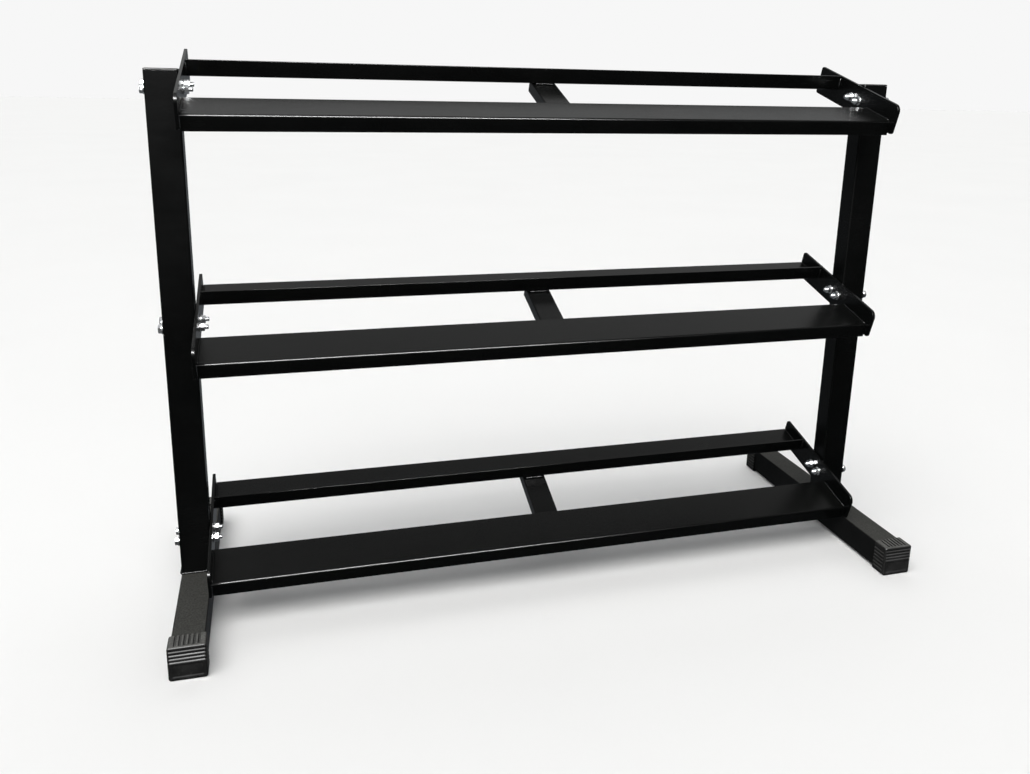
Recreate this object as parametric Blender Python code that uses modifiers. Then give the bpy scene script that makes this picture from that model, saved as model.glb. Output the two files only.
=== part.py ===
"""Three-tier dumbbell rack in black powder-coated steel, as separate sub-parts.

Axes: X runs along the rack, -Y is the front (the side the user stands on), +Z is up.
The floor is z = 0 and the foot tubes are centred on x = 0, y = 0. All lengths are metres.
"""
import math

import bpy
import bmesh
from mathutils import Matrix, Vector

# ---- overall size -----------------------------------------------------------
RACK_WIDTH = 1.3208          # over the outer faces of the uprights and feet
RACK_DEPTH = 0.508           # over the front and rear foot caps
RACK_HEIGHT = 0.9398         # top corner of the upper end plates

# ---- fits -------------------------------------------------------------------
FIT_GAP = 0.0003             # between pieces that bolt, weld or press together
HOLE_CLEARANCE = 0.0005      # radial, bolt in its holes

# ---- side frames ------------------------------------------------------------
TUBE_WIDTH = 0.0508          # foot and upright, along X
FOOT_HEIGHT = 0.0508         # foot tube
UPRIGHT_DEPTH = 0.038        # upright, along Y
TUBE_WALL = 0.002
TUBE_CORNER = 0.003          # outside corner radius of the tubes
UPRIGHT_DROP = 0.0328        # upright tops below the corner of the upper end plates
UPRIGHT_TOP = RACK_HEIGHT - UPRIGHT_DROP
UPRIGHT_SETFORWARD = 0.016   # upright centre ahead of the foot centre

# ---- rubber foot caps -------------------------------------------------------
CAP_WALL = 0.003
CAP_LENGTH = 0.032
CAP_RIB_HEIGHT = 0.0008
CAP_RIB_WIDTH = 0.0042
CAP_RIB_COUNT = 6            # along the top, and on each side
CAP_CORNER = 0.004
END_RIB_COUNT = 4            # across the upper part of the end wall
END_RIB_PITCH = 0.0062
END_RIB_WIDTH = 0.0032

# ---- upright plugs ----------------------------------------------------------
PLUG_PLATE = 0.003
PLUG_SKIRT = 0.009           # stops short of the upper bolts
PLUG_WALL = 0.002

# ---- tiers ------------------------------------------------------------------
TIER_NAMES = ("bottom", "middle", "top")
TIER_PITCH = 0.381
TIER_TILT = math.radians(16.5)   # front edge lower than rear edge
STEEL = 0.003                # rail sheet thickness
BEND_OUTSIDE = 0.004         # outside radius of the rail bend

PLATE_LENGTH = 0.254
PLATE_HEIGHT = 0.053
PLATE_THICKNESS = 0.005
PLATE_CORNER = 0.005
PLATE_NOSE = 0.013           # larger radius at the front top corner

FRONT_SHELF = 0.080          # wide leg of the front rail
FRONT_LIP = 0.026            # short leg, hanging down at the front
FRONT_EDGE = 0.117           # front face of the lip, ahead of the plate centre
FRONT_LEVEL = -0.005         # top of the wide leg, from the plate centre line

REAR_SHELF = 0.070           # wide leg of the rear rail
REAR_LIP = 0.0275            # short leg, standing up along the front of the wide leg
REAR_EDGE = -0.058           # front face of the lip, behind the plate centre
REAR_LEVEL = -0.001          # underside of the wide leg, from the plate centre line

BRACE_WIDTH = 0.045
BRACE_HEIGHT = 0.022
BRACE_WALL = 0.002
BRACE_REAR = -0.080          # rear end, behind the plate centre
BRACE_FRONT = 0.062          # front end, ahead of the plate centre

# ---- fasteners --------------------------------------------------------------
BOLT_DIAMETER = 0.008
BOLT_REACH = 0.006           # thread standing past the nut
BOLT_SPACING = 0.025         # along the end plate
HEX_ACROSS_FLATS = 0.013
HEAD_HEIGHT = 0.0053
NUT_HEIGHT = 0.0065
WASHER_DIAMETER = 0.017
WASHER_THICKNESS = 0.0016
ROUND_STEPS = 24
SHARP_ANGLE = math.radians(35.0)   # edges sharper than this stay crisp

# ---- derived positions ------------------------------------------------------
TUBE_OUTER_X = RACK_WIDTH / 2
TUBE_INNER_X = TUBE_OUTER_X - TUBE_WIDTH
TUBE_CENTRE_X = TUBE_OUTER_X - TUBE_WIDTH / 2
PLATE_OUTER_X = TUBE_INNER_X - FIT_GAP
PLATE_INNER_X = PLATE_OUTER_X - PLATE_THICKNESS
RAIL_HALF = PLATE_INNER_X - FIT_GAP
BOLT_LENGTH = (TUBE_OUTER_X - PLATE_INNER_X + 2 * FIT_GAP + WASHER_THICKNESS + NUT_HEIGHT
               + BOLT_REACH)
FOOT_BOTTOM = CAP_WALL + FIT_GAP
FOOT_TOP = FOOT_BOTTOM + FOOT_HEIGHT
FOOT_LENGTH = RACK_DEPTH - 2 * (CAP_WALL + FIT_GAP)
UPRIGHT_BOTTOM = FOOT_TOP + FIT_GAP
UPRIGHT_END = UPRIGHT_TOP - PLUG_PLATE - FIT_GAP
UPRIGHT_Y = -UPRIGHT_SETFORWARD
PLATE_RISE = ((PLATE_LENGTH / 2 - PLATE_CORNER) * math.sin(TIER_TILT)
              + (PLATE_HEIGHT / 2 - PLATE_CORNER) * math.cos(TIER_TILT) + PLATE_CORNER)
TOP_TIER_Z = RACK_HEIGHT - PLATE_RISE
SIDES = (("left", -1), ("right", 1))


def clear_scene():
    for obj in list(bpy.data.objects):
        bpy.data.objects.remove(obj, do_unlink=True)


def make_collection(name):
    coll = bpy.data.collections.new(name)
    bpy.context.scene.collection.children.link(coll)
    return coll


def make_material(name, colour, metallic, roughness):
    mat = bpy.data.materials.new(name)
    mat.use_nodes = True
    shader = mat.node_tree.nodes["Principled BSDF"]
    shader.inputs["Base Color"].default_value = (*colour, 1.0)
    shader.inputs["Metallic"].default_value = metallic
    shader.inputs["Roughness"].default_value = roughness
    return mat


def link_mesh(bm, name, coll):
    """Turn a bmesh into an object of its own in a collection."""
    bmesh.ops.recalc_face_normals(bm, faces=bm.faces)
    mesh = bpy.data.meshes.new(name)
    bm.to_mesh(mesh)
    bm.free()
    obj = bpy.data.objects.new(name, mesh)
    coll.objects.link(obj)
    return obj


def finish(obj, look):
    """Give the piece a material of its own, named after the piece, and shade its curves."""
    for polygon in obj.data.polygons:
        polygon.use_smooth = True
    obj.data.set_sharp_from_angle(angle=SHARP_ANGLE)
    obj.data.materials.clear()
    obj.data.materials.append(make_material("mat_" + obj.name, *look))


def as_cutter(obj):
    obj.hide_render = True
    obj.display_type = "WIRE"
    return obj


def make_box(name, size, centre, coll):
    bm = bmesh.new()
    bmesh.ops.create_cube(bm, size=1.0)
    bmesh.ops.scale(bm, vec=Vector(size), verts=bm.verts)
    bmesh.ops.translate(bm, vec=Vector(centre), verts=bm.verts)
    return link_mesh(bm, name, coll)


def make_prism_x(name, radius, x0, x1, centre_yz, segments, coll, turn=0.0):
    """Cylinder or hexagon along X from x0 to x1."""
    bm = bmesh.new()
    bmesh.ops.create_cone(bm, cap_ends=True, cap_tris=False, segments=segments,
                          radius1=radius, radius2=radius, depth=abs(x1 - x0))
    bmesh.ops.rotate(bm, matrix=Matrix.Rotation(turn, 3, "Z"), verts=bm.verts)
    bmesh.ops.rotate(bm, matrix=Matrix.Rotation(math.pi / 2, 3, "Y"), verts=bm.verts)
    bmesh.ops.translate(bm, vec=Vector(((x0 + x1) / 2, *centre_yz)), verts=bm.verts)
    return link_mesh(bm, name, coll)


def add_bevel(obj, width, segments, axis):
    """Round the edges that run along one axis."""
    bm = bmesh.new()
    bm.from_mesh(obj.data)
    layer = bm.edges.layers.float.new("bevel_weight_edge")
    for edge in bm.edges:
        run = (edge.verts[0].co - edge.verts[1].co).normalized()
        if abs(run[axis]) > 0.99:
            edge[layer] = 1.0
    bm.to_mesh(obj.data)
    bm.free()
    mod = obj.modifiers.new("rounded_edges", "BEVEL")
    mod.limit_method = "WEIGHT"
    mod.width = width
    mod.segments = segments


def add_boolean(obj, other, operation):
    mod = obj.modifiers.new(operation.lower() + "_" + other.name, "BOOLEAN")
    mod.operation = operation
    mod.solver = "EXACT"
    mod.object = other
    as_cutter(other)


def curve_solid(name, outlines, thickness, coll):
    """Fill closed 2D outlines (holes included) and thicken them about z = 0."""
    curve = bpy.data.curves.new(name + "_outline", "CURVE")
    curve.dimensions = "2D"
    curve.fill_mode = "BOTH"
    curve.extrude = thickness / 2
    for points in outlines:
        spline = curve.splines.new("POLY")
        spline.points.add(len(points) - 1)
        for slot, (px, py) in zip(spline.points, points):
            slot.co = (px, py, 0.0, 1.0)
        spline.use_cyclic_u = True
    source = bpy.data.objects.new(name + "_outline", curve)
    coll.objects.link(source)
    mesh = bpy.data.meshes.new_from_object(source)
    bpy.data.objects.remove(source, do_unlink=True)
    bm = bmesh.new()
    bm.from_mesh(mesh)
    bpy.data.meshes.remove(mesh)
    bmesh.ops.remove_doubles(bm, verts=bm.verts, dist=1e-6)
    return link_mesh(bm, name, coll)


def circle_points(centre, radius, steps):
    return [(centre[0] + radius * math.cos(2 * math.pi * k / steps),
             centre[1] + radius * math.sin(2 * math.pi * k / steps)) for k in range(steps)]


def rounded_outline(corners, steps):
    """Closed outline through corner points, each (x, y, radius), with arcs at the corners."""
    points = []
    count = len(corners)
    for index, (cx, cy, radius) in enumerate(corners):
        here = Vector((cx, cy))
        back = (Vector(corners[index - 1][:2]) - here).normalized()
        ahead = (Vector(corners[(index + 1) % count][:2]) - here).normalized()
        if radius == 0.0:
            points.append((cx, cy))
            continue
        half = back.angle(ahead) / 2
        reach = radius / math.tan(half)
        centre = here + (back + ahead).normalized() * (radius / math.sin(half))
        start = here + back * reach - centre
        sweep = math.pi - 2 * half
        side = 1.0 if back.x * ahead.y - back.y * ahead.x < 0 else -1.0
        for k in range(steps + 1):
            turned = Matrix.Rotation(side * sweep * k / steps, 2) @ start
            points.append((centre.x + turned.x, centre.y + turned.y))
    return points


def place_section(obj, centre_yz):
    """Stand a flat outline up in a tilted tier plane, its thickness along X.

    Outline x becomes forward and down the tier, outline y becomes up from the tier.
    """
    ahead = Vector((0.0, -math.cos(TIER_TILT), -math.sin(TIER_TILT)))
    above = Vector((0.0, -math.sin(TIER_TILT), math.cos(TIER_TILT)))
    across = ahead.cross(above)
    turn = Matrix((ahead, above, across)).transposed().to_4x4()
    obj.data.transform(Matrix.Translation((0.0, *centre_yz)) @ turn)


def slide_x(obj, distance):
    obj.data.transform(Matrix.Translation((distance, 0.0, 0.0)))


def tier_point(tier_z, u, v):
    """(y, z) of a point u ahead of and v above the plate centre, on the tilted plane."""
    y = UPRIGHT_Y - u * math.cos(TIER_TILT) - v * math.sin(TIER_TILT)
    z = tier_z - u * math.sin(TIER_TILT) + v * math.cos(TIER_TILT)
    return y, z


def tier_height(index):
    return TOP_TIER_Z - (len(TIER_NAMES) - 1 - index) * TIER_PITCH


def bolt_centres(tier_z):
    """Front and rear bolt axes of one tier end, as (label, y, z)."""
    return [("front", *tier_point(tier_z, BOLT_SPACING / 2, 0.0)),
            ("rear", *tier_point(tier_z, -BOLT_SPACING / 2, 0.0))]


# ---- side frames ------------------------------------------------------------
def build_tube(name, size, centre, axis, parts, cutters):
    """Open-ended square tube running along one axis."""
    outer = make_box(name, size, centre, parts)
    add_bevel(outer, TUBE_CORNER, 3, axis)
    inner_size = [s - 2 * TUBE_WALL for s in size]
    inner_size[axis] = size[axis] + 0.02
    inner = make_box("bore_" + name, inner_size, centre, cutters)
    add_bevel(inner, TUBE_CORNER - TUBE_WALL, 2, axis)
    add_boolean(outer, inner, "DIFFERENCE")
    return outer


def build_foot(side, sign, parts, cutters):
    tube = build_tube("foot_tube_" + side, [TUBE_WIDTH, FOOT_LENGTH, FOOT_HEIGHT],
                      (sign * TUBE_CENTRE_X, 0.0, FOOT_BOTTOM + FOOT_HEIGHT / 2), 1, parts, cutters)
    finish(tube, LOOK_COAT)


def build_upright(side, sign, parts, cutters):
    length = UPRIGHT_END - UPRIGHT_BOTTOM
    tube = build_tube("upright_" + side, [TUBE_WIDTH, UPRIGHT_DEPTH, length],
                      (sign * TUBE_CENTRE_X, UPRIGHT_Y, UPRIGHT_BOTTOM + length / 2), 2,
                      parts, cutters)
    for index, tier in enumerate(TIER_NAMES):
        for label, y, z in bolt_centres(tier_height(index)):
            drill = make_prism_x("drill_upright_%s_%s_%s" % (side, tier, label),
                                 BOLT_DIAMETER / 2 + HOLE_CLEARANCE,
                                 sign * (TUBE_INNER_X - 0.01), sign * (TUBE_OUTER_X + 0.01),
                                 (y, z), ROUND_STEPS, cutters)
            add_boolean(tube, drill, "DIFFERENCE")
    finish(tube, LOOK_COAT)


def build_plug(side, sign, parts, cutters):
    """Flat cap with a hollow skirt that presses into the top of the upright."""
    plate = make_box("upright_plug_" + side, (TUBE_WIDTH, UPRIGHT_DEPTH, PLUG_PLATE),
                     (sign * TUBE_CENTRE_X, UPRIGHT_Y, UPRIGHT_TOP - PLUG_PLATE / 2), parts)
    add_bevel(plate, TUBE_CORNER, 3, 2)
    fit = TUBE_WALL + FIT_GAP
    skirt_size = (TUBE_WIDTH - 2 * fit, UPRIGHT_DEPTH - 2 * fit, PLUG_SKIRT + PLUG_PLATE / 2)
    skirt_z = UPRIGHT_TOP - PLUG_PLATE / 2 - skirt_size[2] / 2
    skirt = make_box("skirt_" + side, skirt_size,
                     (sign * TUBE_CENTRE_X, UPRIGHT_Y, skirt_z), cutters)
    add_bevel(skirt, TUBE_CORNER - TUBE_WALL, 2, 2)
    add_boolean(plate, skirt, "UNION")
    hollow_size = (skirt_size[0] - 2 * PLUG_WALL, skirt_size[1] - 2 * PLUG_WALL, PLUG_SKIRT)
    hollow = make_box("plug_hollow_" + side, hollow_size,
                      (sign * TUBE_CENTRE_X, UPRIGHT_Y,
                       UPRIGHT_TOP - PLUG_PLATE - 0.001 - PLUG_SKIRT / 2), cutters)
    add_boolean(plate, hollow, "DIFFERENCE")
    finish(plate, LOOK_PLASTIC)


# ---- foot caps --------------------------------------------------------------
def make_boxes(name, boxes, coll):
    """Several separate boxes, each (size, centre), in one object."""
    bm = bmesh.new()
    for size, centre in boxes:
        made = bmesh.ops.create_cube(bm, size=1.0)
        bmesh.ops.scale(bm, vec=Vector(size), verts=made["verts"])
        bmesh.ops.translate(bm, vec=Vector(centre), verts=made["verts"])
    return link_mesh(bm, name, coll)


def build_cap(end, end_sign, side, sign, parts, cutters):
    """Slip-on rubber cap: ribbed sleeve, end wall with ribs over a plain panel."""
    name = "foot_cap_%s_%s" % (end, side)
    x = sign * TUBE_CENTRE_X
    tube_z = FOOT_BOTTOM + FOOT_HEIGHT / 2
    skin = CAP_WALL + FIT_GAP - CAP_RIB_HEIGHT
    width = TUBE_WIDTH + 2 * skin
    top = FOOT_TOP + skin
    length = CAP_LENGTH - CAP_RIB_HEIGHT
    end_y = RACK_DEPTH / 2 - CAP_RIB_HEIGHT
    middle_y = end_sign * (end_y - length / 2)
    sleeve = make_box(name, (width, length, top), (x, middle_y, top / 2), parts)
    add_bevel(sleeve, CAP_CORNER, 3, 1)

    side_pitch = (top - 2 * CAP_CORNER) / CAP_RIB_COUNT
    side_boxes = []
    for k in range(CAP_RIB_COUNT):
        z = CAP_CORNER + side_pitch * (k + 0.5)
        side_boxes.append(((width + 2 * CAP_RIB_HEIGHT, length, CAP_RIB_WIDTH), (x, middle_y, z)))
    add_boolean(sleeve, make_boxes("side_ribs_" + name, side_boxes, cutters), "UNION")

    top_pitch = (width - 2 * CAP_CORNER) / CAP_RIB_COUNT
    top_boxes = []
    for k in range(CAP_RIB_COUNT):
        rib_x = x - width / 2 + CAP_CORNER + top_pitch * (k + 0.5)
        height = top / 2 + CAP_RIB_HEIGHT
        top_boxes.append(((CAP_RIB_WIDTH, length, height), (rib_x, middle_y, top / 2 + height / 2)))
    add_boolean(sleeve, make_boxes("top_ribs_" + name, top_boxes, cutters), "UNION")

    end_boxes = []
    for k in range(END_RIB_COUNT + 1):
        z = top - CAP_CORNER - END_RIB_PITCH * (k + 0.5)
        if k == END_RIB_COUNT:
            z = CAP_CORNER + END_RIB_WIDTH / 2
        size = (width - 2 * CAP_CORNER, 2 * CAP_RIB_HEIGHT, END_RIB_WIDTH)
        end_boxes.append((size, (x, end_sign * end_y, z)))
    add_boolean(sleeve, make_boxes("end_ribs_" + name, end_boxes, cutters), "UNION")

    pocket_end = RACK_DEPTH / 2 - CAP_WALL
    pocket = make_box("pocket_" + name,
                      (TUBE_WIDTH + 2 * FIT_GAP, CAP_LENGTH, FOOT_HEIGHT + 2 * FIT_GAP),
                      (x, end_sign * (pocket_end - CAP_LENGTH / 2), tube_z), cutters)
    add_bevel(pocket, TUBE_CORNER, 3, 1)
    add_boolean(sleeve, pocket, "DIFFERENCE")
    finish(sleeve, LOOK_RUBBER)


# ---- tiers ------------------------------------------------------------------
def angle_outline(edge, shelf, lip, level, direction):
    """Bent-angle section in (forward, up).

    direction -1: the wide leg's top is at level and the lip hangs down at its front.
    direction +1: the wide leg's underside is at level and the lip stands up at its front.
    """
    back = edge - shelf
    tip = level + direction * lip
    skin = level + direction * STEEL
    inside = BEND_OUTSIDE - STEEL
    return rounded_outline([
        (edge, level, BEND_OUTSIDE), (edge, tip, 0.0), (edge - STEEL, tip, 0.0),
        (edge - STEEL, skin, inside), (back, skin, 0.0), (back, level, 0.0)], 4)


def build_rail(name, outline, tier_z, parts):
    rail = curve_solid(name, [outline], 2 * RAIL_HALF, parts)
    place_section(rail, (UPRIGHT_Y, tier_z))
    finish(rail, LOOK_COAT)


def build_end_plate(tier, side, sign, tier_z, parts):
    """Flat bar end plate: rounded corners, bigger radius at the front top, two bolt holes."""
    half_l = PLATE_LENGTH / 2
    half_h = PLATE_HEIGHT / 2
    outline = rounded_outline([
        (half_l, half_h, PLATE_NOSE), (half_l, -half_h, PLATE_CORNER),
        (-half_l, -half_h, PLATE_CORNER), (-half_l, half_h, PLATE_CORNER)], 6)
    hole = BOLT_DIAMETER / 2 + HOLE_CLEARANCE
    holes = [circle_points((u, 0.0), hole, ROUND_STEPS) for u in (BOLT_SPACING / 2, -BOLT_SPACING / 2)]
    plate = curve_solid("end_plate_%s_%s" % (tier, side), [outline] + holes, PLATE_THICKNESS, parts)
    place_section(plate, (UPRIGHT_Y, tier_z))
    slide_x(plate, sign * (PLATE_INNER_X + PLATE_THICKNESS / 2))
    finish(plate, LOOK_COAT)


def build_brace(tier, tier_z, parts, cutters):
    """Short rectangular tube welded under both rails at mid length."""
    rear_u = BRACE_REAR
    rear_v = REAR_LEVEL - FIT_GAP
    front_u = FRONT_EDGE - FRONT_SHELF
    front_v = FRONT_LEVEL - STEEL - FIT_GAP
    slope = math.atan2(rear_v - front_v, front_u - rear_u)
    length = BRACE_FRONT - BRACE_REAR
    tube = build_tube("centre_brace_" + tier, [BRACE_WIDTH, length, BRACE_HEIGHT],
                      (0.0, 0.0, -BRACE_HEIGHT / 2), 1, parts, cutters)
    middle_u = (BRACE_FRONT + BRACE_REAR) / 2
    middle_v = rear_v - math.tan(slope) * (middle_u - rear_u)
    y, z = tier_point(tier_z, middle_u, middle_v)
    move = Matrix.Translation((0.0, y, z)) @ Matrix.Rotation(TIER_TILT + slope, 4, "X")
    tube.data.transform(move)
    tube.modifiers[-1].object.data.transform(move)
    finish(tube, LOOK_COAT)


# ---- fasteners --------------------------------------------------------------
def build_bolt(name, sign, y, z, parts, cutters):
    """Hex bolt with its outer washer, axis along X, head on the outer side."""
    seat = TUBE_OUTER_X + FIT_GAP
    flange = seat + WASHER_THICKNESS
    bolt = make_prism_x(name, HEX_ACROSS_FLATS / 2 / math.cos(math.pi / 6),
                        sign * (flange - 0.0002), sign * (flange + HEAD_HEIGHT), (y, z), 6, parts)
    washer = make_prism_x("washer_" + name, WASHER_DIAMETER / 2, sign * seat, sign * flange,
                          (y, z), ROUND_STEPS, cutters)
    add_boolean(bolt, washer, "UNION")
    shank = make_prism_x("shank_" + name, BOLT_DIAMETER / 2, sign * (flange + 0.001),
                         sign * (seat - BOLT_LENGTH), (y, z), ROUND_STEPS, cutters)
    add_boolean(bolt, shank, "UNION")
    finish(bolt, LOOK_ZINC)


def build_nut(name, sign, y, z, parts, cutters):
    """Hex nut with its washer, seated on the inner face of the end plate."""
    seat = PLATE_INNER_X - FIT_GAP
    flange = seat - WASHER_THICKNESS
    nut = make_prism_x(name, HEX_ACROSS_FLATS / 2 / math.cos(math.pi / 6),
                       sign * (flange + 0.0002), sign * (flange - NUT_HEIGHT), (y, z), 6,
                       parts, math.pi / 6)
    washer = make_prism_x("washer_" + name, WASHER_DIAMETER / 2, sign * seat, sign * flange,
                          (y, z), ROUND_STEPS, cutters)
    add_boolean(nut, washer, "UNION")
    bore = make_prism_x("bore_" + name, BOLT_DIAMETER / 2 + FIT_GAP, sign * (seat + 0.01),
                        sign * (flange - NUT_HEIGHT - 0.01), (y, z), ROUND_STEPS, cutters)
    add_boolean(nut, bore, "DIFFERENCE")
    finish(nut, LOOK_ZINC)


# ---- looks: base colour, metallic, roughness --------------------------------
LOOK_COAT = ((0.012, 0.013, 0.013), 0.0, 0.35)
LOOK_RUBBER = ((0.020, 0.020, 0.020), 0.0, 0.75)
LOOK_PLASTIC = ((0.015, 0.015, 0.015), 0.0, 0.45)
LOOK_ZINC = ((0.62, 0.63, 0.64), 1.0, 0.30)


def main():
    clear_scene()
    parts = make_collection("dumbbell_rack")
    cutters = make_collection("cutters")

    for side, sign in SIDES:
        build_foot(side, sign, parts, cutters)
        for end, end_sign in (("front", -1), ("rear", 1)):
            build_cap(end, end_sign, side, sign, parts, cutters)
        build_upright(side, sign, parts, cutters)
        build_plug(side, sign, parts, cutters)

    front = angle_outline(FRONT_EDGE, FRONT_SHELF, FRONT_LIP, FRONT_LEVEL, -1)
    rear = angle_outline(REAR_EDGE, REAR_SHELF, REAR_LIP, REAR_LEVEL, 1)
    for index, tier in enumerate(TIER_NAMES):
        tier_z = tier_height(index)
        build_rail("front_rail_" + tier, front, tier_z, parts)
        build_rail("rear_rail_" + tier, rear, tier_z, parts)
        build_brace(tier, tier_z, parts, cutters)
        for side, sign in SIDES:
            build_end_plate(tier, side, sign, tier_z, parts)
            for label, y, z in bolt_centres(tier_z):
                build_bolt("bolt_%s_%s_%s" % (tier, side, label), sign, y, z, parts, cutters)
                build_nut("nut_%s_%s_%s" % (tier, side, label), sign, y, z, parts, cutters)


main()
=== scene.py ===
"""Finished looks for the three-tier dumbbell rack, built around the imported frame.

Every piece of the frame is rebuilt here with its real edge radii, ribs and threads, in the place
that the frame's own boxes give. Washers and weld beads are added as pieces of their own.
Lengths are metres, +X runs along the rack, -Y is the front, +Z is up.
"""

import math
import random

import bpy
import bmesh
from mathutils import Matrix, Vector


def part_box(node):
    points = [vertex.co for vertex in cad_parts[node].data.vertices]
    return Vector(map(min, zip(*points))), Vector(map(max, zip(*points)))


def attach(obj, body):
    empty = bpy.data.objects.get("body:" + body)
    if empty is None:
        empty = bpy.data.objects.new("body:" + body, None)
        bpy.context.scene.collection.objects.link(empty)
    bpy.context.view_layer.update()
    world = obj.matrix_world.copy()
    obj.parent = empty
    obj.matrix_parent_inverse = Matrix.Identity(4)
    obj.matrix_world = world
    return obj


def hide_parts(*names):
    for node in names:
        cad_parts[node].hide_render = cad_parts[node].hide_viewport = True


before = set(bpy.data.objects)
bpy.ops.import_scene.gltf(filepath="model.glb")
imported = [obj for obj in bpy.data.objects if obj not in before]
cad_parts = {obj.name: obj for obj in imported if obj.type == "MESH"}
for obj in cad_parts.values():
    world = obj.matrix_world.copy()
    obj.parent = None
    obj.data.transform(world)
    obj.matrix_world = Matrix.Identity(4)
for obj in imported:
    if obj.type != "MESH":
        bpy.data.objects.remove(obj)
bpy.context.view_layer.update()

TIERS = ("bottom", "middle", "top")
SIDES = (("left", -1), ("right", 1))
ENDS = (("front", -1), ("rear", 1))

# ---- section sizes, as on the frame ------------------------------------------
STEEL = 0.003
TUBE_CORNER = 0.003
TUBE_WALL = 0.002
BEND = 0.004
CUT_EDGE = 0.0005          # softened sheared edges
FRONT_SHELF, FRONT_LIP, FRONT_EDGE, FRONT_LEVEL = 0.080, 0.026, 0.117, -0.005
REAR_SHELF, REAR_LIP, REAR_EDGE, REAR_LEVEL = 0.070, 0.0275, -0.058, -0.001
PLATE_LENGTH, PLATE_HEIGHT, PLATE_CORNER, PLATE_NOSE = 0.254, 0.053, 0.005, 0.013
BRACE_WIDTH, BRACE_HEIGHT, BRACE_REAR, BRACE_FRONT = 0.045, 0.022, -0.080, 0.062
FLATS, HEAD, NUT, WASHER_R, WASHER_T = 0.013, 0.0053, 0.0065, 0.0085, 0.0016
THREAD_R, THREAD_PITCH = 0.004, 0.00125
GAP = 0.0003               # clearance between pieces that touch

# ---- sizes of the finer detail ------------------------------------------------
TUBE_EDGE = 0.0004         # rounding at a tube's cut ends
PLATE_EDGE = 0.0006
WELD_UPRIGHT, WELD_BRACE = 0.0023, 0.0021              # bead radii
WELD_FRONT_TOP, WELD_FRONT_UNDER = 0.0025, 0.0023
WELD_REAR_TOP, WELD_REAR_LIP = 0.0024, 0.0022
PLUG_RIM, PLUG_CROWN, PLUG_FIT = 0.003, 0.0016, 0.0046
CAP_CORNER, CAP_END = 0.004, 0.0034
GROOVES, GROOVE_WIDTH, GROOVE_DEPTH = 6, 0.0034, 0.0021
END_GROOVES, END_PITCH, END_FIRST = 4, 0.0062, 0.0066  # on the cap's end, from the top down
END_HALF = 0.0016          # half width of those grooves, and their depth
PANEL_SIDE, PANEL_LOW, PANEL_HIGH, PANEL_DEPTH = 0.0050, 0.0056, 0.0300, 0.0010


def middle_of(node):
    low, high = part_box(node)
    return (low + high) / 2


TUBE_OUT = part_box("upright_right")[1].x
PLATE_IN, PLATE_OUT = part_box("end_plate_top_right")[0].x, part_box("end_plate_top_right")[1].x
RAIL_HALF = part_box("front_rail_top")[1].x
BOLT_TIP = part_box("bolt_top_right_front")[0].x


class Tier:
    """The tilted plane of one tier: u runs forward and down it, v stands up from it."""

    def __init__(self, name):
        front = middle_of("bolt_%s_right_front" % name)
        rear = middle_of("bolt_%s_right_rear" % name)
        self.centre = (front + rear) / 2
        self.ahead = (front - rear).normalized()
        self.above = Vector((0.0, self.ahead.z, -self.ahead.y))

    def point(self, x, u, v):
        spot = self.centre + self.ahead * u + self.above * v
        return Vector((x, spot.y, spot.z))


TIER = {name: Tier(name) for name in TIERS}


# ---- procedural materials ----------------------------------------------------
def material(name):
    mat = bpy.data.materials.new(name)
    mat.use_nodes = True
    tree = mat.node_tree
    return mat, tree, tree.nodes["Principled BSDF"]


def noise(tree, coords, scale, detail, rough, stretch=None):
    source = coords
    if stretch:
        mapping = tree.nodes.new("ShaderNodeMapping")
        mapping.inputs["Scale"].default_value = stretch
        tree.links.new(coords, mapping.inputs["Vector"])
        source = mapping.outputs["Vector"]
    node = tree.nodes.new("ShaderNodeTexNoise")
    node.inputs["Scale"].default_value = scale
    node.inputs["Detail"].default_value = detail
    node.inputs["Roughness"].default_value = rough
    tree.links.new(source, node.inputs["Vector"])
    return node.outputs["Fac"]


def ramp(tree, factor, stops):
    node = tree.nodes.new("ShaderNodeValToRGB")
    while len(node.color_ramp.elements) < len(stops):
        node.color_ramp.elements.new(0.5)
    for element, (position, value) in zip(node.color_ramp.elements, stops):
        element.position = position
        element.color = value if len(value) == 4 else (*value, 1.0)
    tree.links.new(factor, node.inputs["Fac"])
    return node.outputs["Color"]


def spread(tree, factor, low, high):
    node = tree.nodes.new("ShaderNodeMapRange")
    node.inputs["From Min"].default_value = 0.3
    node.inputs["From Max"].default_value = 0.7
    node.inputs["To Min"].default_value = low
    node.inputs["To Max"].default_value = high
    tree.links.new(factor, node.inputs["Value"])
    return node.outputs["Result"]


def blend_colour(tree, factor, a, b):
    node = tree.nodes.new("ShaderNodeMix")
    node.data_type = "RGBA"
    tree.links.new(factor, node.inputs["Factor"])
    for socket, value in ((node.inputs["A"], a), (node.inputs["B"], b)):
        if isinstance(value, tuple):
            socket.default_value = (*value, 1.0)
        else:
            tree.links.new(value, socket)
    return node.outputs["Result"]


def bumps(tree, layers, shader):
    """Chain of bump nodes: each layer is (height, distance, strength)."""
    normal = None
    for height, distance, strength in layers:
        node = tree.nodes.new("ShaderNodeBump")
        node.inputs["Distance"].default_value = distance
        node.inputs["Strength"].default_value = strength
        tree.links.new(height, node.inputs["Height"])
        if normal:
            tree.links.new(normal, node.inputs["Normal"])
        normal = node.outputs["Normal"]
    tree.links.new(normal, shader.inputs["Normal"])


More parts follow.
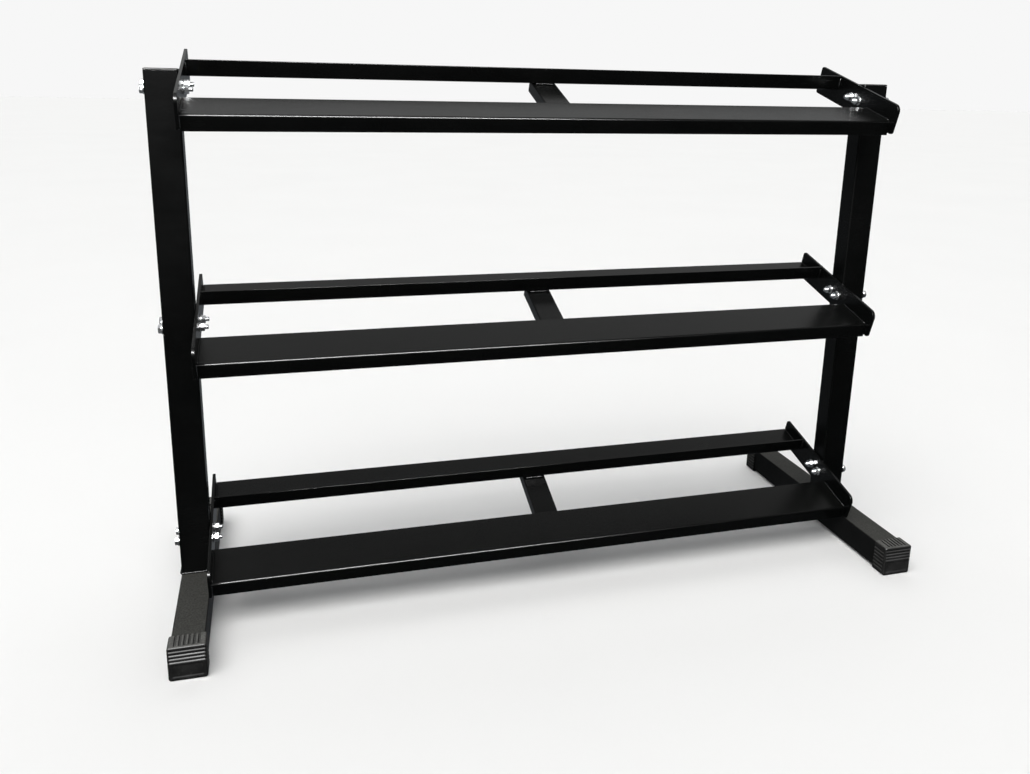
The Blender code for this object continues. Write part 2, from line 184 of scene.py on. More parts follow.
def lighten_upward_faces(tree, base, dust_and_top_light, grain_scale, amount):
    """Lightens faces turned upward, broken up by a grain: partly fine dust, partly a painted top
    light standing in for the light that falls on them.
    """
    split = tree.nodes.new("ShaderNodeSeparateXYZ")
    tree.links.new(tree.nodes.new("ShaderNodeNewGeometry").outputs["Normal"], split.inputs[0])
    # mask of faces turned upward: where the dust and the painted top light go
    up = tree.nodes.new("ShaderNodeMapRange")
    up.inputs["From Min"].default_value = 0.55
    up.inputs["From Max"].default_value = 0.97
    up.inputs["To Max"].default_value = amount
    tree.links.new(split.outputs["Z"], up.inputs["Value"])
    coords = tree.nodes.new("ShaderNodeTexCoord").outputs["Object"]
    grain = spread(tree, noise(tree, coords, grain_scale, 4.0, 0.7), 0.35, 1.0)
    both = tree.nodes.new("ShaderNodeMath")
    both.operation = "MULTIPLY"
    tree.links.new(up.outputs["Result"], both.inputs[0])
    tree.links.new(grain, both.inputs[1])
    return blend_colour(tree, both.outputs[0], base, dust_and_top_light)


def powder_coat(name, dark, light, rough_low, rough_high, peel, grain, ior, dust_and_top_light):
    """Black powder coat: orange peel about 2 mm across, fine grain, faint cloudy sheen.

    peel and grain are bump strengths; the last argument is how far upward faces are lightened,
    partly settled dust and partly a painted top light.
    """
    mat, tree, shader = material(name)
    coords = tree.nodes.new("ShaderNodeTexCoord").outputs["Object"]
    cloud = noise(tree, coords, 9.0, 3.0, 0.55)
    rub = noise(tree, coords, 60.0, 4.0, 0.6, (0.25, 1.0, 1.0))
    orange = noise(tree, coords, 480.0, 2.0, 0.5)
    fine = noise(tree, coords, 2200.0, 2.0, 0.6)
    # paler colour on upward faces: dust and a painted top light
    tree.links.new(lighten_upward_faces(tree, blend_colour(tree, cloud, dark, light), (0.085, 0.085, 0.078),
                           420.0, dust_and_top_light), shader.inputs["Base Color"])
    mixed = tree.nodes.new("ShaderNodeMath")
    mixed.operation = "MULTIPLY_ADD"
    mixed.inputs[1].default_value = 0.35
    tree.links.new(rub, mixed.inputs[0])
    scaled = tree.nodes.new("ShaderNodeMath")
    scaled.operation = "MULTIPLY"
    scaled.inputs[1].default_value = 0.65
    tree.links.new(cloud, scaled.inputs[0])
    tree.links.new(scaled.outputs[0], mixed.inputs[2])
    tree.links.new(spread(tree, mixed.outputs[0], rough_low, rough_high),
                   shader.inputs["Roughness"])
    shader.inputs["IOR"].default_value = ior
    bumps(tree, [(orange, 0.0004, peel), (fine, 0.0002, grain)], shader)
    return mat


def rubber(name):
    """Black rubber with specks of dust; upward faces lightened by dust and a painted top light, and
    painted shade darkens it down in its grooves.
    """
    mat, tree, shader = material(name)
    coords = tree.nodes.new("ShaderNodeTexCoord").outputs["Object"]
    cloud = noise(tree, coords, 35.0, 4.0, 0.6)
    fine = noise(tree, coords, 1500.0, 3.0, 0.6)
    # specks of real dust: lighter flecks, also used as a bump
    dust_and_top_light = noise(tree, coords, 240.0, 5.0, 0.7)
    base = blend_colour(tree, cloud, (0.003, 0.003, 0.0028), (0.007, 0.007, 0.0063))
    speck = ramp(tree, dust_and_top_light, [(0.55, (0.0, 0.0, 0.0)), (0.72, (0.5, 0.5, 0.5))])
    # upward faces lightened towards a pale grey: dust and a painted top light
    specked_and_top_lit = lighten_upward_faces(tree, blend_colour(tree, speck, base, (0.045, 0.045, 0.041)),
                   (0.16, 0.16, 0.15), 300.0, 0.8)
    # painted shade: ambient occlusion darkens the base colour down in the grooves and other recesses
    groove_shade_ao = tree.nodes.new("ShaderNodeAmbientOcclusion")
    groove_shade_ao.inputs["Distance"].default_value = 0.0035
    groove_shade_ao.samples = 8
    painted_groove_shade = ramp(tree, groove_shade_ao.outputs["AO"], [(0.55, (0.0, 0.0, 0.0)), (0.95, (1.0, 1.0, 1.0))])
    tree.links.new(blend_colour(tree, painted_groove_shade, (0.0015, 0.0015, 0.0014), specked_and_top_lit),
                   shader.inputs["Base Color"])
    tree.links.new(spread(tree, cloud, 0.42, 0.58), shader.inputs["Roughness"])
    shader.inputs["IOR"].default_value = 1.20
    bumps(tree, [(dust_and_top_light, 0.0003, 0.25), (fine, 0.0002, 0.35)], shader)
    return mat


def plastic(name):
    """Black moulded plastic with a fine grain."""
    mat, tree, shader = material(name)
    coords = tree.nodes.new("ShaderNodeTexCoord").outputs["Object"]
    cloud = noise(tree, coords, 40.0, 3.0, 0.5)
    grain = noise(tree, coords, 1600.0, 2.0, 0.5)
    tree.links.new(blend_colour(tree, cloud, (0.007, 0.007, 0.007), (0.012, 0.012, 0.012)),
                   shader.inputs["Base Color"])
    tree.links.new(spread(tree, cloud, 0.38, 0.50), shader.inputs["Roughness"])
    shader.inputs["IOR"].default_value = 1.22
    bumps(tree, [(grain, 0.0002, 0.3)], shader)
    return mat


def zinc(name):
    """Bright zinc plate, blotched and lightly scuffed."""
    mat, tree, shader = material(name)
    coords = tree.nodes.new("ShaderNodeTexCoord").outputs["Object"]
    blotch = noise(tree, coords, 260.0, 4.0, 0.6)
    scuff = noise(tree, coords, 900.0, 3.0, 0.6, (1.0, 0.3, 0.3))
    tree.links.new(blend_colour(tree, blotch, (0.34, 0.355, 0.375), (0.56, 0.56, 0.55)),
                   shader.inputs["Base Color"])
    tree.links.new(spread(tree, scuff, 0.13, 0.28), shader.inputs["Roughness"])
    shader.inputs["Metallic"].default_value = 1.0
    bumps(tree, [(blotch, 0.0002, 0.15), (scuff, 0.0001, 0.2)], shader)
    return mat


COAT = powder_coat("powder_coat", (0.0014, 0.0017, 0.0017), (0.0028, 0.0032, 0.0031),
                   0.22, 0.28, 0.10, 0.10, 1.17, 0.03)
COAT_FEET = powder_coat("powder_coat_grained", (0.0020, 0.0023, 0.0022), (0.0042, 0.0045, 0.0042),
                        0.40, 0.55, 0.22, 0.45, 1.12, 0.75)
RUBBER = rubber("ribbed_rubber")
PLASTIC = plastic("plug_plastic")
ZINC = zinc("zinc_plate")


# ---- mesh helpers ------------------------------------------------------------
def rounded(corners):
    """Closed outline through corners (x, y, radius, steps), an arc at each corner."""
    points = []
    for index, (cx, cy, radius, steps) in enumerate(corners):
        here = Vector((cx, cy))
        if radius == 0.0:
            points.append(here)
            continue
        back = (Vector(corners[index - 1][:2]) - here).normalized()
        ahead = (Vector(corners[(index + 1) % len(corners)][:2]) - here).normalized()
        half = back.angle(ahead) / 2
        centre = here + (back + ahead).normalized() * (radius / math.sin(half))
        start = here + back * (radius / math.tan(half)) - centre
        sweep = math.pi - 2 * half
        side = 1.0 if back.x * ahead.y - back.y * ahead.x < 0 else -1.0
        for k in range(steps + 1):
            points.append(centre + Matrix.Rotation(side * sweep * k / steps, 2) @ start)
    return points


def rounded_box(width, height, radius, steps):
    w, h = width / 2, height / 2
    return rounded([(w, h, radius, steps), (-w, h, radius, steps),
                    (-w, -h, radius, steps), (w, -h, radius, steps)])


def inset(points, distance):
    """The outline moved inward by a small distance."""
    count = len(points)
    area = sum(points[i - 1].x * points[i].y - points[i].x * points[i - 1].y
               for i in range(count))
    turn = 1.0 if area > 0 else -1.0
    moved = []
    for i, here in enumerate(points):
        before = (here - points[i - 1]).normalized()
        after = (points[(i + 1) % count] - here).normalized()
        n1 = Vector((-before.y, before.x)) * turn
        n2 = Vector((-after.y, after.x)) * turn
        both = n1 + n2
        moved.append(here + both * (distance / max(0.35, 0.5 * both.length_squared)))
    return moved


def join_rows(bm, a, b):
    count = len(a)
    for k in range(count):
        bm.faces.new((a[k], a[(k + 1) % count], b[(k + 1) % count], b[k]))


def rows_of(bm, outline, place, stations):
    """One ring of vertices at each station (t, inset)."""
    rows = []
    for t, distance in stations:
        loop = inset(outline, distance) if distance else outline
        rows.append([bm.verts.new(place(p.x, p.y, t)) for p in loop])
    for a, b in zip(rows, rows[1:]):
        join_rows(bm, a, b)
    return rows


def round_stations(t0, t1, edge):
    """Stations that round both ends of a run with the edge radius."""
    if not edge:
        return [(t0, 0.0), (t1, 0.0)]
    step = math.copysign(edge, t1 - t0)
    arc = [(1 - math.cos(a), 1 - math.sin(a)) for a in (0.0, math.pi / 6, math.pi / 3, math.pi / 2)]
    begin = [(t0 + step * x, edge * y) for x, y in arc]
    end = [(t1 - step * x, edge * y) for x, y in reversed(arc)]
    return begin + end


def solid(bm, outline, place, t0, t1, edge=0.0):
    """A closed solid of one outline, with softened ends."""
    rows = rows_of(bm, outline, place, round_stations(t0, t1, edge))
    bm.faces.new(rows[0])
    bm.faces.new(rows[-1])


def hollow(bm, outer, inner, place, t0, t1, edge=0.0):
    """An open-ended tube: outer and inner outlines have the same number of points."""
    skin = rows_of(bm, outer, place, round_stations(t0, t1, edge))
    bore = rows_of(bm, inner, place, [(t0, 0.0), (t1, 0.0)])
    join_rows(bm, skin[0], bore[0])
    join_rows(bm, skin[-1], bore[-1])


def turned(bm, rings, count, place, close=(True, True)):
    """A turned piece: each ring is a function of the angle giving (t, radius)."""
    rows = []
    for ring in rings:
        row = []
        for k in range(count):
            angle = 2 * math.pi * k / count
            t, radius = ring(angle)
            row.append(bm.verts.new(place(radius * math.cos(angle), radius * math.sin(angle), t)))
        rows.append(row)
    for a, b in zip(rows, rows[1:]):
        join_rows(bm, a, b)
    if close[0]:
        bm.faces.new(rows[0])
    if close[1]:
        bm.faces.new(rows[-1])


def piece(name, bm, mat, nodes=(), sharp=None):
    """Finish a mesh as a piece of the rack that rides on the frame."""
    bmesh.ops.recalc_face_normals(bm, faces=bm.faces)
    mesh = bpy.data.meshes.new(name)
    bm.to_mesh(mesh)
    bm.free()
    for polygon in mesh.polygons:
        polygon.use_smooth = True
    if sharp:
        mesh.set_sharp_from_angle(angle=math.radians(sharp))
    obj = bpy.data.objects.new(name, mesh)
    bpy.context.scene.collection.objects.link(obj)
    mesh.materials.append(mat)
    mod = obj.modifiers.new("face_weighted", "WEIGHTED_NORMAL")
    mod.keep_sharp = True
    mod.weight = 80
    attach(obj, "root")
    if nodes:
        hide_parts(*nodes)


def bead(bm, path, radius, closed=False, seed=0):
    """A weld bead: overlapping ripples along a path, tapered at open ends."""
    rnd = random.Random(seed)
    pitch = radius * 0.85
    step = pitch / 4
    spots, directions, run = [], [], 0.0
    stops = list(path) + ([path[0]] if closed else [])
    for a, b in zip(stops, stops[1:]):
        length = (b - a).length
        count = max(2, int(length / step))
        for k in range(count):
            spots.append((a.lerp(b, k / count), run + length * k / count))
        run += length
    if not closed:
        spots.append((stops[-1], run))
    size = [1.0 + rnd.uniform(-0.10, 0.10) for _ in range(int(run / pitch) + 3)]
    shift = [rnd.uniform(-0.08, 0.08) * radius for _ in range(int(run / pitch) + 3)]
    total, around, rows = len(spots), 10, []
    for index, (spot, where) in enumerate(spots):
        if closed:
            ahead = spots[(index + 1) % total][0] - spots[index - 1][0]
        else:
            ahead = spots[min(index + 1, total - 1)][0] - spots[max(index - 1, 0)][0]
        ahead = ahead.normalized()
        side = ahead.cross(Vector((0.31, 0.17, 0.94))).normalized()
        up = side.cross(ahead)
        phase = where / pitch
        ripple = 1.0 - 0.22 * (phase % 1.0)
        grow = radius * ripple * size[int(phase)]
        if not closed:
            edge = min(where, run - where)
            grow *= math.sqrt(min(1.0, 0.12 + edge / (2.0 * radius)))
        centre = spot + side * shift[int(phase)]
        rows.append([bm.verts.new(centre + (side * math.cos(2 * math.pi * k / around)
                                            + up * math.sin(2 * math.pi * k / around)) * grow)
                     for k in range(around)])
    for a, b in zip(rows, rows[1:]):
        join_rows(bm, a, b)
    if closed:
        join_rows(bm, rows[-1], rows[0])
    else:
        bm.faces.new(rows[0])
        bm.faces.new(rows[-1])


# ---- side frames -------------------------------------------------------------
def along_z(cx, cy):
    return lambda a, b, t: Vector((cx + a, cy + b, t))


def along_y(cx, cz):
    return lambda a, b, t: Vector((cx + a, t, cz + b))


def build_upright(side):
    node = "upright_" + side
    low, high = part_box(node)
    centre, size = (low + high) / 2, high - low
    outer = rounded_box(size.x, size.y, TUBE_CORNER, 6)
    inner = rounded_box(size.x - 2 * TUBE_WALL, size.y - 2 * TUBE_WALL, TUBE_CORNER - TUBE_WALL, 6)
    bm = bmesh.new()
    hollow(bm, outer, inner, along_z(centre.x, centre.y), low.z, high.z, TUBE_EDGE)
    piece(node + "_tube", bm, COAT, [node])

    loop = inset(rounded_box(size.x, size.y, TUBE_CORNER, 3), -0.0006)
    path = [Vector((centre.x + p.x, centre.y + p.y, low.z + 0.0004)) for p in loop]
    bm = bmesh.new()
    bead(bm, path, WELD_UPRIGHT, closed=True, seed=3 if side == "left" else 4)
    piece("weld_upright_" + side, bm, COAT)


def build_plug(side):
    node = "upright_plug_" + side
    low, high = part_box(node)
    centre, size = (low + high) / 2, high - low
    outline = rounded_box(size.x, size.y, TUBE_CORNER, 6)
    place = along_z(centre.x, centre.y)
    bm = bmesh.new()
    seat = high.z - PLUG_RIM
    stations = [(seat, 0.0004), (seat + 0.0003, 0.0)]
    for k in range(6):
        angle = math.pi / 2 * k / 5
        stations.append((high.z - PLUG_CROWN * (1 - math.sin(angle)) - 0.0003,
                         PLUG_CROWN * 1.4 * (1 - math.cos(angle))))
    stations.append((high.z, TUBE_CORNER * 0.93))
    rows = rows_of(bm, outline, place, stations)
    bm.faces.new(rows[0])
    bm.faces.new(rows[-1])
    skirt = rounded_box(size.x - PLUG_FIT, size.y - PLUG_FIT, 0.0012, 3)
    solid(bm, skirt, place, low.z, seat + 0.0005)
    piece(node + "_cap", bm, PLASTIC, [node])


def build_foot(side):
    node = "foot_tube_" + side
    low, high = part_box(node)
    centre, size = (low + high) / 2, high - low
    outer = rounded_box(size.x, size.z, TUBE_CORNER, 6)
    inner = rounded_box(size.x - 2 * TUBE_WALL, size.z - 2 * TUBE_WALL, TUBE_CORNER - TUBE_WALL, 6)
    bm = bmesh.new()
    hollow(bm, outer, inner, along_y(centre.x, centre.z), low.y, high.y)
    piece(node + "_bar", bm, COAT_FEET, [node])


def ribbed_outline(width, top):
    """Outline of the cap sleeve in (x, z): flat base, grooved sides and top."""
    w, corner, lip = width / 2, CAP_CORNER, GROOVE_WIDTH / 2
    points = []

    def run(a, b, outward):
        span = (b - a).length
        ahead = (b - a).normalized()
        pitch = span / (GROOVES + 1)
        for k in range(GROOVES):
            mid = a + ahead * pitch * (k + 1)
            for offset, sink in ((-lip - 0.0006, 0.0), (-lip, 0.18), (-lip * 0.7, 0.9),
                                 (-lip * 0.4, 1.0), (lip * 0.4, 1.0), (lip * 0.7, 0.9),
                                 (lip, 0.18), (lip + 0.0006, 0.0)):
                points.append(mid + ahead * offset - outward * GROOVE_DEPTH * sink)

    def arc(cx, cz, start):
        for k in range(7):
            angle = start + math.pi / 2 * k / 6
            points.append(Vector((cx + corner * math.cos(angle), cz + corner * math.sin(angle))))

    arc(w - corner, corner, -math.pi / 2)
    run(Vector((w, corner)), Vector((w, top - corner)), Vector((1.0, 0.0)))
    arc(w - corner, top - corner, 0.0)
    run(Vector((w - corner, top)), Vector((-w + corner, top)), Vector((0.0, 1.0)))
    arc(-w + corner, top - corner, math.pi / 2)
    run(Vector((-w, top - corner)), Vector((-w, corner)), Vector((-1.0, 0.0)))
    arc(-w + corner, corner, math.pi)
    return points


def build_cap(end, end_sign, side):
    node = "foot_cap_%s_%s" % (end, side)
    low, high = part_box(node)
    centre = (low + high) / 2
    width, top = high.x - low.x, high.z
    outer_y = low.y if end_sign < 0 else high.y
    inner_y = high.y if end_sign < 0 else low.y
    place = along_y(centre.x, 0.0)
    outline = ribbed_outline(width, top)
    shoulder = outer_y - end_sign * CAP_END
    bm = bmesh.new()
    solid(bm, outline, place, inner_y, shoulder, 0.0005)

    def depth(x, z):
        """How far the end wall lies behind its outermost plane."""
        sink = 0.0
        for k in range(END_GROOVES):
            off = abs(z - (top - END_FIRST - k * END_PITCH)) / END_HALF
            if off < 1.0 and abs(x) < width / 2 - END_HALF:
                sink = max(sink, END_HALF * (1.0 - off ** 3))
        inside = min(width / 2 - PANEL_SIDE - abs(x), z - PANEL_LOW, top - PANEL_HIGH - z)
        if inside > 0:
            sink = max(sink, min(PANEL_DEPTH, inside * 0.9))
        return sink

    nx, nz, corner, soft = 44, 56, 0.0042, 0.0016
    grid = []
    for j in range(nz + 1):
        row = []
        for i in range(nx + 1):
            x = -width / 2 + width * i / nx
            z = top * j / nz
            ax = max(0.0, abs(x) - (width / 2 - corner))
            az = max(0.0, abs(z - top / 2) - (top / 2 - corner))
            reach = math.hypot(ax, az)
            if reach > corner:
                x = math.copysign(width / 2 - corner + ax * corner / reach, x)
                z = top / 2 + math.copysign(top / 2 - corner + az * corner / reach, z - top / 2)
                reach = corner
            rim = corner - reach if (ax and az) else min(width / 2 - abs(x), z, top - z)
            rim = max(0.0, min(rim, soft))
            bend = soft - math.sqrt(max(0.0, soft ** 2 - (soft - rim) ** 2))
            row.append(bm.verts.new((centre.x + x,
                                     outer_y - end_sign * (bend + depth(x, z)), z)))
        grid.append(row)
    for j in range(nz):
        for i in range(nx):
            bm.faces.new((grid[j][i], grid[j][i + 1], grid[j + 1][i + 1], grid[j + 1][i]))
    rim = ([grid[0][i] for i in range(nx)] + [grid[j][nx] for j in range(nz)]
           + [grid[nz][i] for i in range(nx, 0, -1)] + [grid[j][0] for j in range(nz, 0, -1)])
    back = [bm.verts.new((v.co.x, shoulder - end_sign * 0.0008, v.co.z)) for v in rim]
    join_rows(bm, rim, back)
    bmesh.ops.remove_doubles(bm, verts=bm.verts, dist=1e-6)
    piece(node + "_boot", bm, RUBBER, [node], sharp=50)


# ---- tiers -------------------------------------------------------------------
def angle_section(edge, shelf, lip, level, direction):
    back = edge - shelf
    tip = level + direction * lip
    skin = level + direction * STEEL
    inside = BEND - STEEL
    return rounded([(edge, level, BEND, 10), (edge, tip, CUT_EDGE, 3),
                    (edge - STEEL, tip, CUT_EDGE, 3), (edge - STEEL, skin, inside, 6),
                    (back, skin, CUT_EDGE, 3), (back, level, CUT_EDGE, 3)])


def build_rail(node, section, tier):
    bm = bmesh.new()
    solid(bm, section, lambda a, b, t: tier.point(t, a, b), -RAIL_HALF, RAIL_HALF)
    piece(node + "_angle", bm, COAT, [node])


def build_end_plate(name, side, sign, tier):
    node = "end_plate_%s_%s" % (name, side)
    l, h = PLATE_LENGTH / 2, PLATE_HEIGHT / 2
    outline = rounded([(l, h, PLATE_NOSE, 14), (l, -h, PLATE_CORNER, 8),
                       (-l, -h, PLATE_CORNER, 8), (-l, h, PLATE_CORNER, 8)])
    bm = bmesh.new()
    solid(bm, outline, lambda a, b, t: tier.point(t, a, b), sign * PLATE_IN, sign * PLATE_OUT,
          PLATE_EDGE)
    piece(node + "_bar", bm, COAT, [node])

    bm = bmesh.new()
    face = sign * (PLATE_IN - PLATE_EDGE)
    seed = 10 * TIERS.index(name) + (1 if sign > 0 else 2)
    bead(bm, [tier.point(face, FRONT_EDGE - FRONT_SHELF + 0.003, FRONT_LEVEL + GAP),
              tier.point(face, FRONT_EDGE - 0.005, FRONT_LEVEL + GAP)], WELD_FRONT_TOP, seed=seed)
    bead(bm, [tier.point(face, FRONT_EDGE - FRONT_SHELF + 0.004, FRONT_LEVEL - STEEL - GAP),
              tier.point(face, FRONT_EDGE - STEEL - 0.002, FRONT_LEVEL - STEEL - GAP)],
         WELD_FRONT_UNDER, seed=seed + 100)
    piece("weld_front_%s_%s" % (name, side), bm, COAT)

    bm = bmesh.new()
    bead(bm, [tier.point(face, REAR_EDGE - REAR_SHELF + 0.004, REAR_LEVEL + STEEL + GAP),
              tier.point(face, REAR_EDGE - STEEL - 0.003, REAR_LEVEL + STEEL + GAP)],
         WELD_REAR_TOP, seed=seed + 200)
    bead(bm, [tier.point(face, REAR_EDGE + GAP, REAR_LEVEL + 0.004),
              tier.point(face, REAR_EDGE + GAP, REAR_LEVEL + REAR_LIP - 0.004)],
         WELD_REAR_LIP, seed=seed + 300)
    piece("weld_rear_%s_%s" % (name, side), bm, COAT)


def build_brace(name, tier):
    node = "centre_brace_" + name
    rear_v, front_v = REAR_LEVEL - GAP, FRONT_LEVEL - STEEL - GAP
    front_u = FRONT_EDGE - FRONT_SHELF
    slope = (rear_v - front_v) / (front_u - BRACE_REAR)
    run = Vector((1.0, -slope)).normalized()
    lift = Vector((-run.y, run.x))
    start = Vector((BRACE_REAR, rear_v))

    def place(a, b, t):
        spot = start + run * t + lift * (b - BRACE_HEIGHT / 2)
        return tier.point(a, spot.x, spot.y)

    outer = rounded_box(BRACE_WIDTH, BRACE_HEIGHT, TUBE_CORNER, 6)
    inner = rounded_box(BRACE_WIDTH - 2 * TUBE_WALL, BRACE_HEIGHT - 2 * TUBE_WALL,
                        TUBE_CORNER - TUBE_WALL, 6)
    bm = bmesh.new()
    hollow(bm, outer, inner, place, 0.0, BRACE_FRONT - BRACE_REAR, TUBE_EDGE)
    piece(node + "_tube", bm, COAT, [node])

    bm = bmesh.new()
    half = BRACE_WIDTH / 2 - 0.005
    seed = 40 + TIERS.index(name)
    bead(bm, [tier.point(-half, front_u - 0.0006, front_v + 0.0012),
              tier.point(half, front_u - 0.0006, front_v + 0.0012)], WELD_BRACE, seed=seed)
    bead(bm, [tier.point(-half, REAR_EDGE + 0.0006, rear_v + 0.0002),
              tier.point(half, REAR_EDGE + 0.0006, rear_v + 0.0002)], WELD_BRACE, seed=seed + 7)
    piece("weld_brace_" + name, bm, COAT)


# ---- fasteners ---------------------------------------------------------------
def hex_radius(angle, turn):
    return FLATS / 2 / math.cos((angle + turn) % (math.pi / 3) - math.pi / 6)


def flat_ring(t, radius):
    return lambda angle: (t, radius)


def hex_ring(t, turn):
    return lambda angle: (t, hex_radius(angle, turn))


def chamfer_ring(t, turn, direction):
    """Where the 30 degree chamfer cone cuts the hexagon."""
    def ring(angle):
        radius = hex_radius(angle, turn)
        return (t + direction * (radius - FLATS / 2 * 0.985) * math.tan(math.radians(30)), radius)
    return ring


def washer(bm, place, t0, t1, bore):
    edge = 0.0003
    turned(bm, [flat_ring(t0, bore), flat_ring(t0, WASHER_R - edge), flat_ring(t0 + edge, WASHER_R),
                flat_ring(t1 - edge, WASHER_R), flat_ring(t1, WASHER_R - edge), flat_ring(t1, bore)],
           48, place, (False, False))


def build_fasteners(name, side, sign, label, spin):
    centre = middle_of("bolt_%s_%s_%s" % (name, side, label))

    def place(a, b, t):
        return Vector((sign * t, centre.y + a, centre.z + b))

    tag = "%s_%s_%s" % (name, side, label)
    outer = TUBE_OUT + GAP
    flange = outer + WASHER_T
    bm = bmesh.new()
    washer(bm, place, outer, flange, THREAD_R)
    piece("washer_outer_" + tag, bm, ZINC, sharp=30)

    bm = bmesh.new()
    top = flange + HEAD
    turned(bm, [hex_ring(flange + 0.00005, spin), chamfer_ring(top, spin, -1.0),
                flat_ring(top, FLATS / 2 * 0.93), flat_ring(top - 0.0002, FLATS / 2 * 0.86)],
           72, place)
    thread_from = PLATE_IN - WASHER_T - NUT + 0.0008
    turned(bm, [flat_ring(flange + 0.0002, THREAD_R), flat_ring(thread_from, THREAD_R - 0.0004)],
           24, place)
    rings, step = [], THREAD_PITCH / 8
    count = int((thread_from - BOLT_TIP - 0.0008) / step)

    def thread_ring(t):
        def ring(angle):
            wave = abs(2 * ((t / THREAD_PITCH + angle / (2 * math.pi)) % 1.0) - 1.0)
            return (t, THREAD_R - 0.0007 * wave)
        return ring

    for k in range(count + 1):
        rings.append(thread_ring(thread_from - k * step))
    rings.append(flat_ring(BOLT_TIP, THREAD_R - 0.0010))
    turned(bm, rings, 36, place)
    piece("bolt_%s_m8" % tag, bm, ZINC, ["bolt_" + tag], sharp=28)

    seat = PLATE_IN - GAP
    flange = seat - WASHER_T
    bm = bmesh.new()
    washer(bm, place, flange, seat, THREAD_R)
    piece("washer_inner_" + tag, bm, ZINC, sharp=30)

    bm = bmesh.new()
    face = flange - NUT
    turn = spin * 1.7 + 0.4
    back = flange - 0.00005
    turned(bm, [flat_ring(back, FLATS / 2 * 0.93), chamfer_ring(back, turn, -1.0),
                chamfer_ring(face, turn, 1.0), flat_ring(face, FLATS / 2 * 0.93),
                flat_ring(face, 0.0047), flat_ring(face + 0.0007, 0.0039)],
           72, place, (True, False))
    piece("nut_%s_m8" % tag, bm, ZINC, ["nut_" + tag], sharp=28)


for side, sign in SIDES:
    build_upright(side)
    build_plug(side)
    build_foot(side)
    for end, end_sign in ENDS:
        build_cap(end, end_sign, side)

spins = random.Random(11)
FRONT_SECTION = angle_section(FRONT_EDGE, FRONT_SHELF, FRONT_LIP, FRONT_LEVEL, -1)
REAR_SECTION = angle_section(REAR_EDGE, REAR_SHELF, REAR_LIP, REAR_LEVEL, 1)
for name in TIERS:
    tier = TIER[name]
    build_rail("front_rail_" + name, FRONT_SECTION, tier)
    build_rail("rear_rail_" + name, REAR_SECTION, tier)
    build_brace(name, tier)
    for side, sign in SIDES:
        build_end_plate(name, side, sign, tier)
        for label, _ in ENDS:
            build_fasteners(name, side, sign, label, spins.uniform(0.0, 1.0))


# ---- stage, light and camera -------------------------------------------------
KEY_ENERGY, KEY_ANGLE, KEY_AZIMUTH, KEY_ELEVATION = 1.75, 50.0, -38.0, 66.0
KEY_COLOUR = (1.0, 0.99, 0.97)
STRIP_POWER, STRIP_SIZE = 2400.0, (4.6, 0.30)
STRIP_PLACE, STRIP_TARGET = (-0.9, -1.9, 2.3), (0.0, 0.0, 0.5)
CAMERA_PLACE = (-0.4784, -1.5013, 0.8925)
CAMERA_YAW, CAMERA_PITCH, CAMERA_ROLL = 15.622, 13.718, 1.167
CAMERA_LENS, CAMERA_SHIFT = 30.59, -0.0859


def build_floor():
    """A pale floor, which the glossy coat doesn't mirror: its upright faces stay dark."""
    bm = bmesh.new()
    bmesh.ops.create_grid(bm, x_segments=8, y_segments=8, size=40.0)
    mesh = bpy.data.meshes.new("floor")
    bm.to_mesh(mesh)
    bm.free()
    obj = bpy.data.objects.new("floor", mesh)
    bpy.context.scene.collection.objects.link(obj)
    mat, tree, shader = material("pale_floor")
    coords = tree.nodes.new("ShaderNodeTexCoord").outputs["Object"]
    cloud = noise(tree, coords, 1.2, 3.0, 0.5)
    tree.links.new(blend_colour(tree, cloud, (0.86, 0.86, 0.86), (0.89, 0.89, 0.89)),
                   shader.inputs["Base Color"])
    shader.inputs["Roughness"].default_value = 0.9
    shader.inputs["Specular IOR Level"].default_value = 0.1
    mesh.materials.append(mat)
    obj.visible_glossy = False


def build_world():
    """A soft white ceiling, strongest towards the back. The camera sees a plain pale backdrop."""
    world = bpy.data.worlds.new("studio")
    bpy.context.scene.world = world
    world.use_nodes = True
    tree = world.node_tree
    back = tree.nodes["Background"]
    split = tree.nodes.new("ShaderNodeSeparateXYZ")
    tree.links.new(tree.nodes.new("ShaderNodeTexCoord").outputs["Generated"], split.inputs[0])
    sky = ramp(tree, split.outputs["Z"], [
        (0.0, (0.16, 0.17, 0.18)), (0.30, (0.32, 0.33, 0.34)), (0.52, (0.72, 0.73, 0.73)),
        (0.72, (1.0, 1.0, 0.99)), (0.84, (0.80, 0.81, 0.81)), (1.0, (0.65, 0.66, 0.67))])
    depth = tree.nodes.new("ShaderNodeMapRange")
    depth.inputs["From Min"].default_value = -0.6
    depth.inputs["From Max"].default_value = 0.5
    depth.inputs["To Min"].default_value = 0.24
    depth.inputs["To Max"].default_value = 1.25
    tree.links.new(split.outputs["Y"], depth.inputs["Value"])
    plain = tree.nodes.new("ShaderNodeBackground")
    plain.inputs["Color"].default_value = (0.93, 0.93, 0.93, 1.0)
    seen = tree.nodes.new("ShaderNodeLightPath").outputs["Is Camera Ray"]
    mix = tree.nodes.new("ShaderNodeMixShader")
    tree.links.new(seen, mix.inputs[0])
    tree.links.new(sky, back.inputs["Color"])
    tree.links.new(depth.outputs["Result"], back.inputs["Strength"])
    tree.links.new(back.outputs[0], mix.inputs[1])
    tree.links.new(plain.outputs[0], mix.inputs[2])
    tree.links.new(mix.outputs[0], tree.nodes["World Output"].inputs["Surface"])


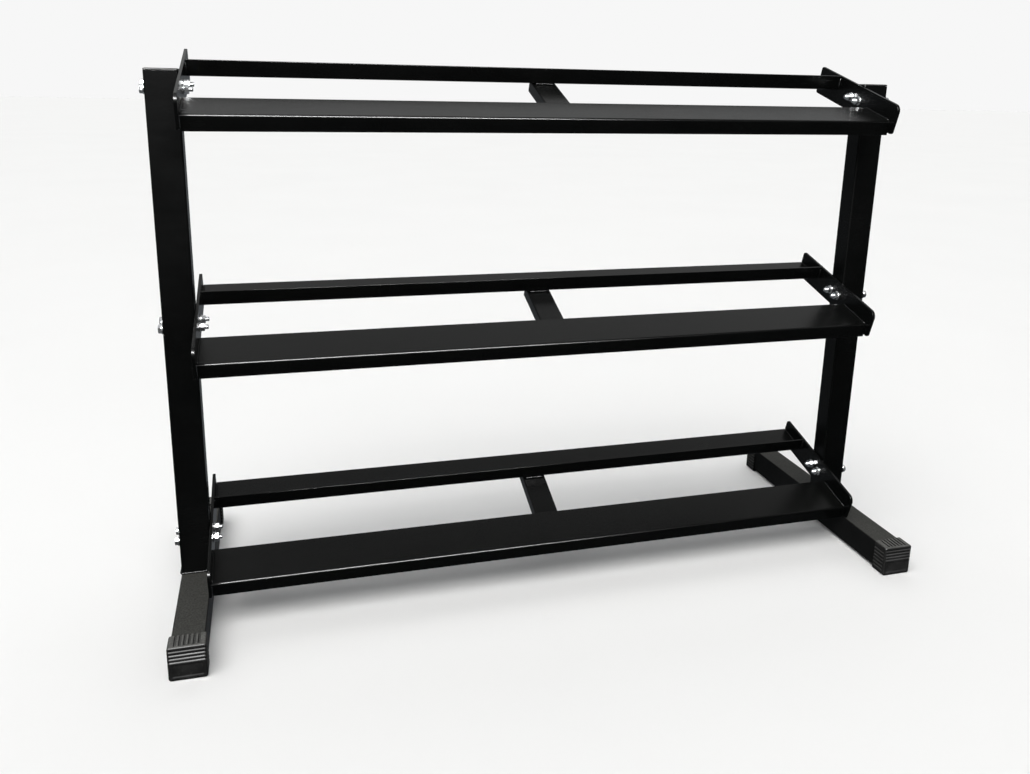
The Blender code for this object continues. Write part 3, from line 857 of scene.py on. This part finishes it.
def build_strip(name):
    """A long softbox that only draws the bright line along the bends and edges."""
    light = bpy.data.lights.new(name, "AREA")
    light.shape = "RECTANGLE"
    light.size, light.size_y = STRIP_SIZE
    light.energy = STRIP_POWER
    obj = bpy.data.objects.new(name, light)
    obj.location = STRIP_PLACE
    obj.rotation_mode = "QUATERNION"
    obj.rotation_quaternion = (Vector(STRIP_PLACE) - Vector(STRIP_TARGET)).to_track_quat("Z", "Y")
    obj.visible_diffuse = False
    obj.visible_camera = False
    bpy.context.scene.collection.objects.link(obj)


def build_sun(name):
    """The key light, so wide that its shadows are soft."""
    light = bpy.data.lights.new(name, "SUN")
    light.energy = KEY_ENERGY
    light.angle = math.radians(KEY_ANGLE)
    light.color = KEY_COLOUR
    obj = bpy.data.objects.new(name, light)
    a, e = math.radians(KEY_AZIMUTH), math.radians(KEY_ELEVATION)
    towards = Vector((math.sin(a) * math.cos(e), -math.cos(a) * math.cos(e), math.sin(e)))
    obj.rotation_mode = "QUATERNION"
    obj.rotation_quaternion = towards.to_track_quat("Z", "Y")
    bpy.context.scene.collection.objects.link(obj)


def build_camera():
    yaw, pitch, roll = (math.radians(a) for a in (CAMERA_YAW, CAMERA_PITCH, CAMERA_ROLL))
    right = Vector((math.cos(yaw), -math.sin(yaw), 0.0))
    look = Vector((math.sin(yaw) * math.cos(pitch), math.cos(yaw) * math.cos(pitch),
                   -math.sin(pitch)))
    up = right.cross(look)
    right, up = (right * math.cos(roll) + up * math.sin(roll),
                 up * math.cos(roll) - right * math.sin(roll))
    cam = bpy.data.cameras.new("camera")
    cam.sensor_fit = "HORIZONTAL"
    cam.sensor_width = 36.0
    cam.lens = CAMERA_LENS
    cam.shift_y = CAMERA_SHIFT
    cam.clip_start, cam.clip_end = 0.05, 200.0
    obj = bpy.data.objects.new("camera", cam)
    turn = Matrix((right, up, -look)).transposed().to_4x4()
    obj.matrix_world = Matrix.Translation(CAMERA_PLACE) @ turn
    bpy.context.scene.collection.objects.link(obj)
    bpy.context.scene.camera = obj


build_floor()
build_world()
build_sun("key")
build_strip("edge_strip")
build_camera()
bpy.context.scene.view_settings.view_transform = "Standard"
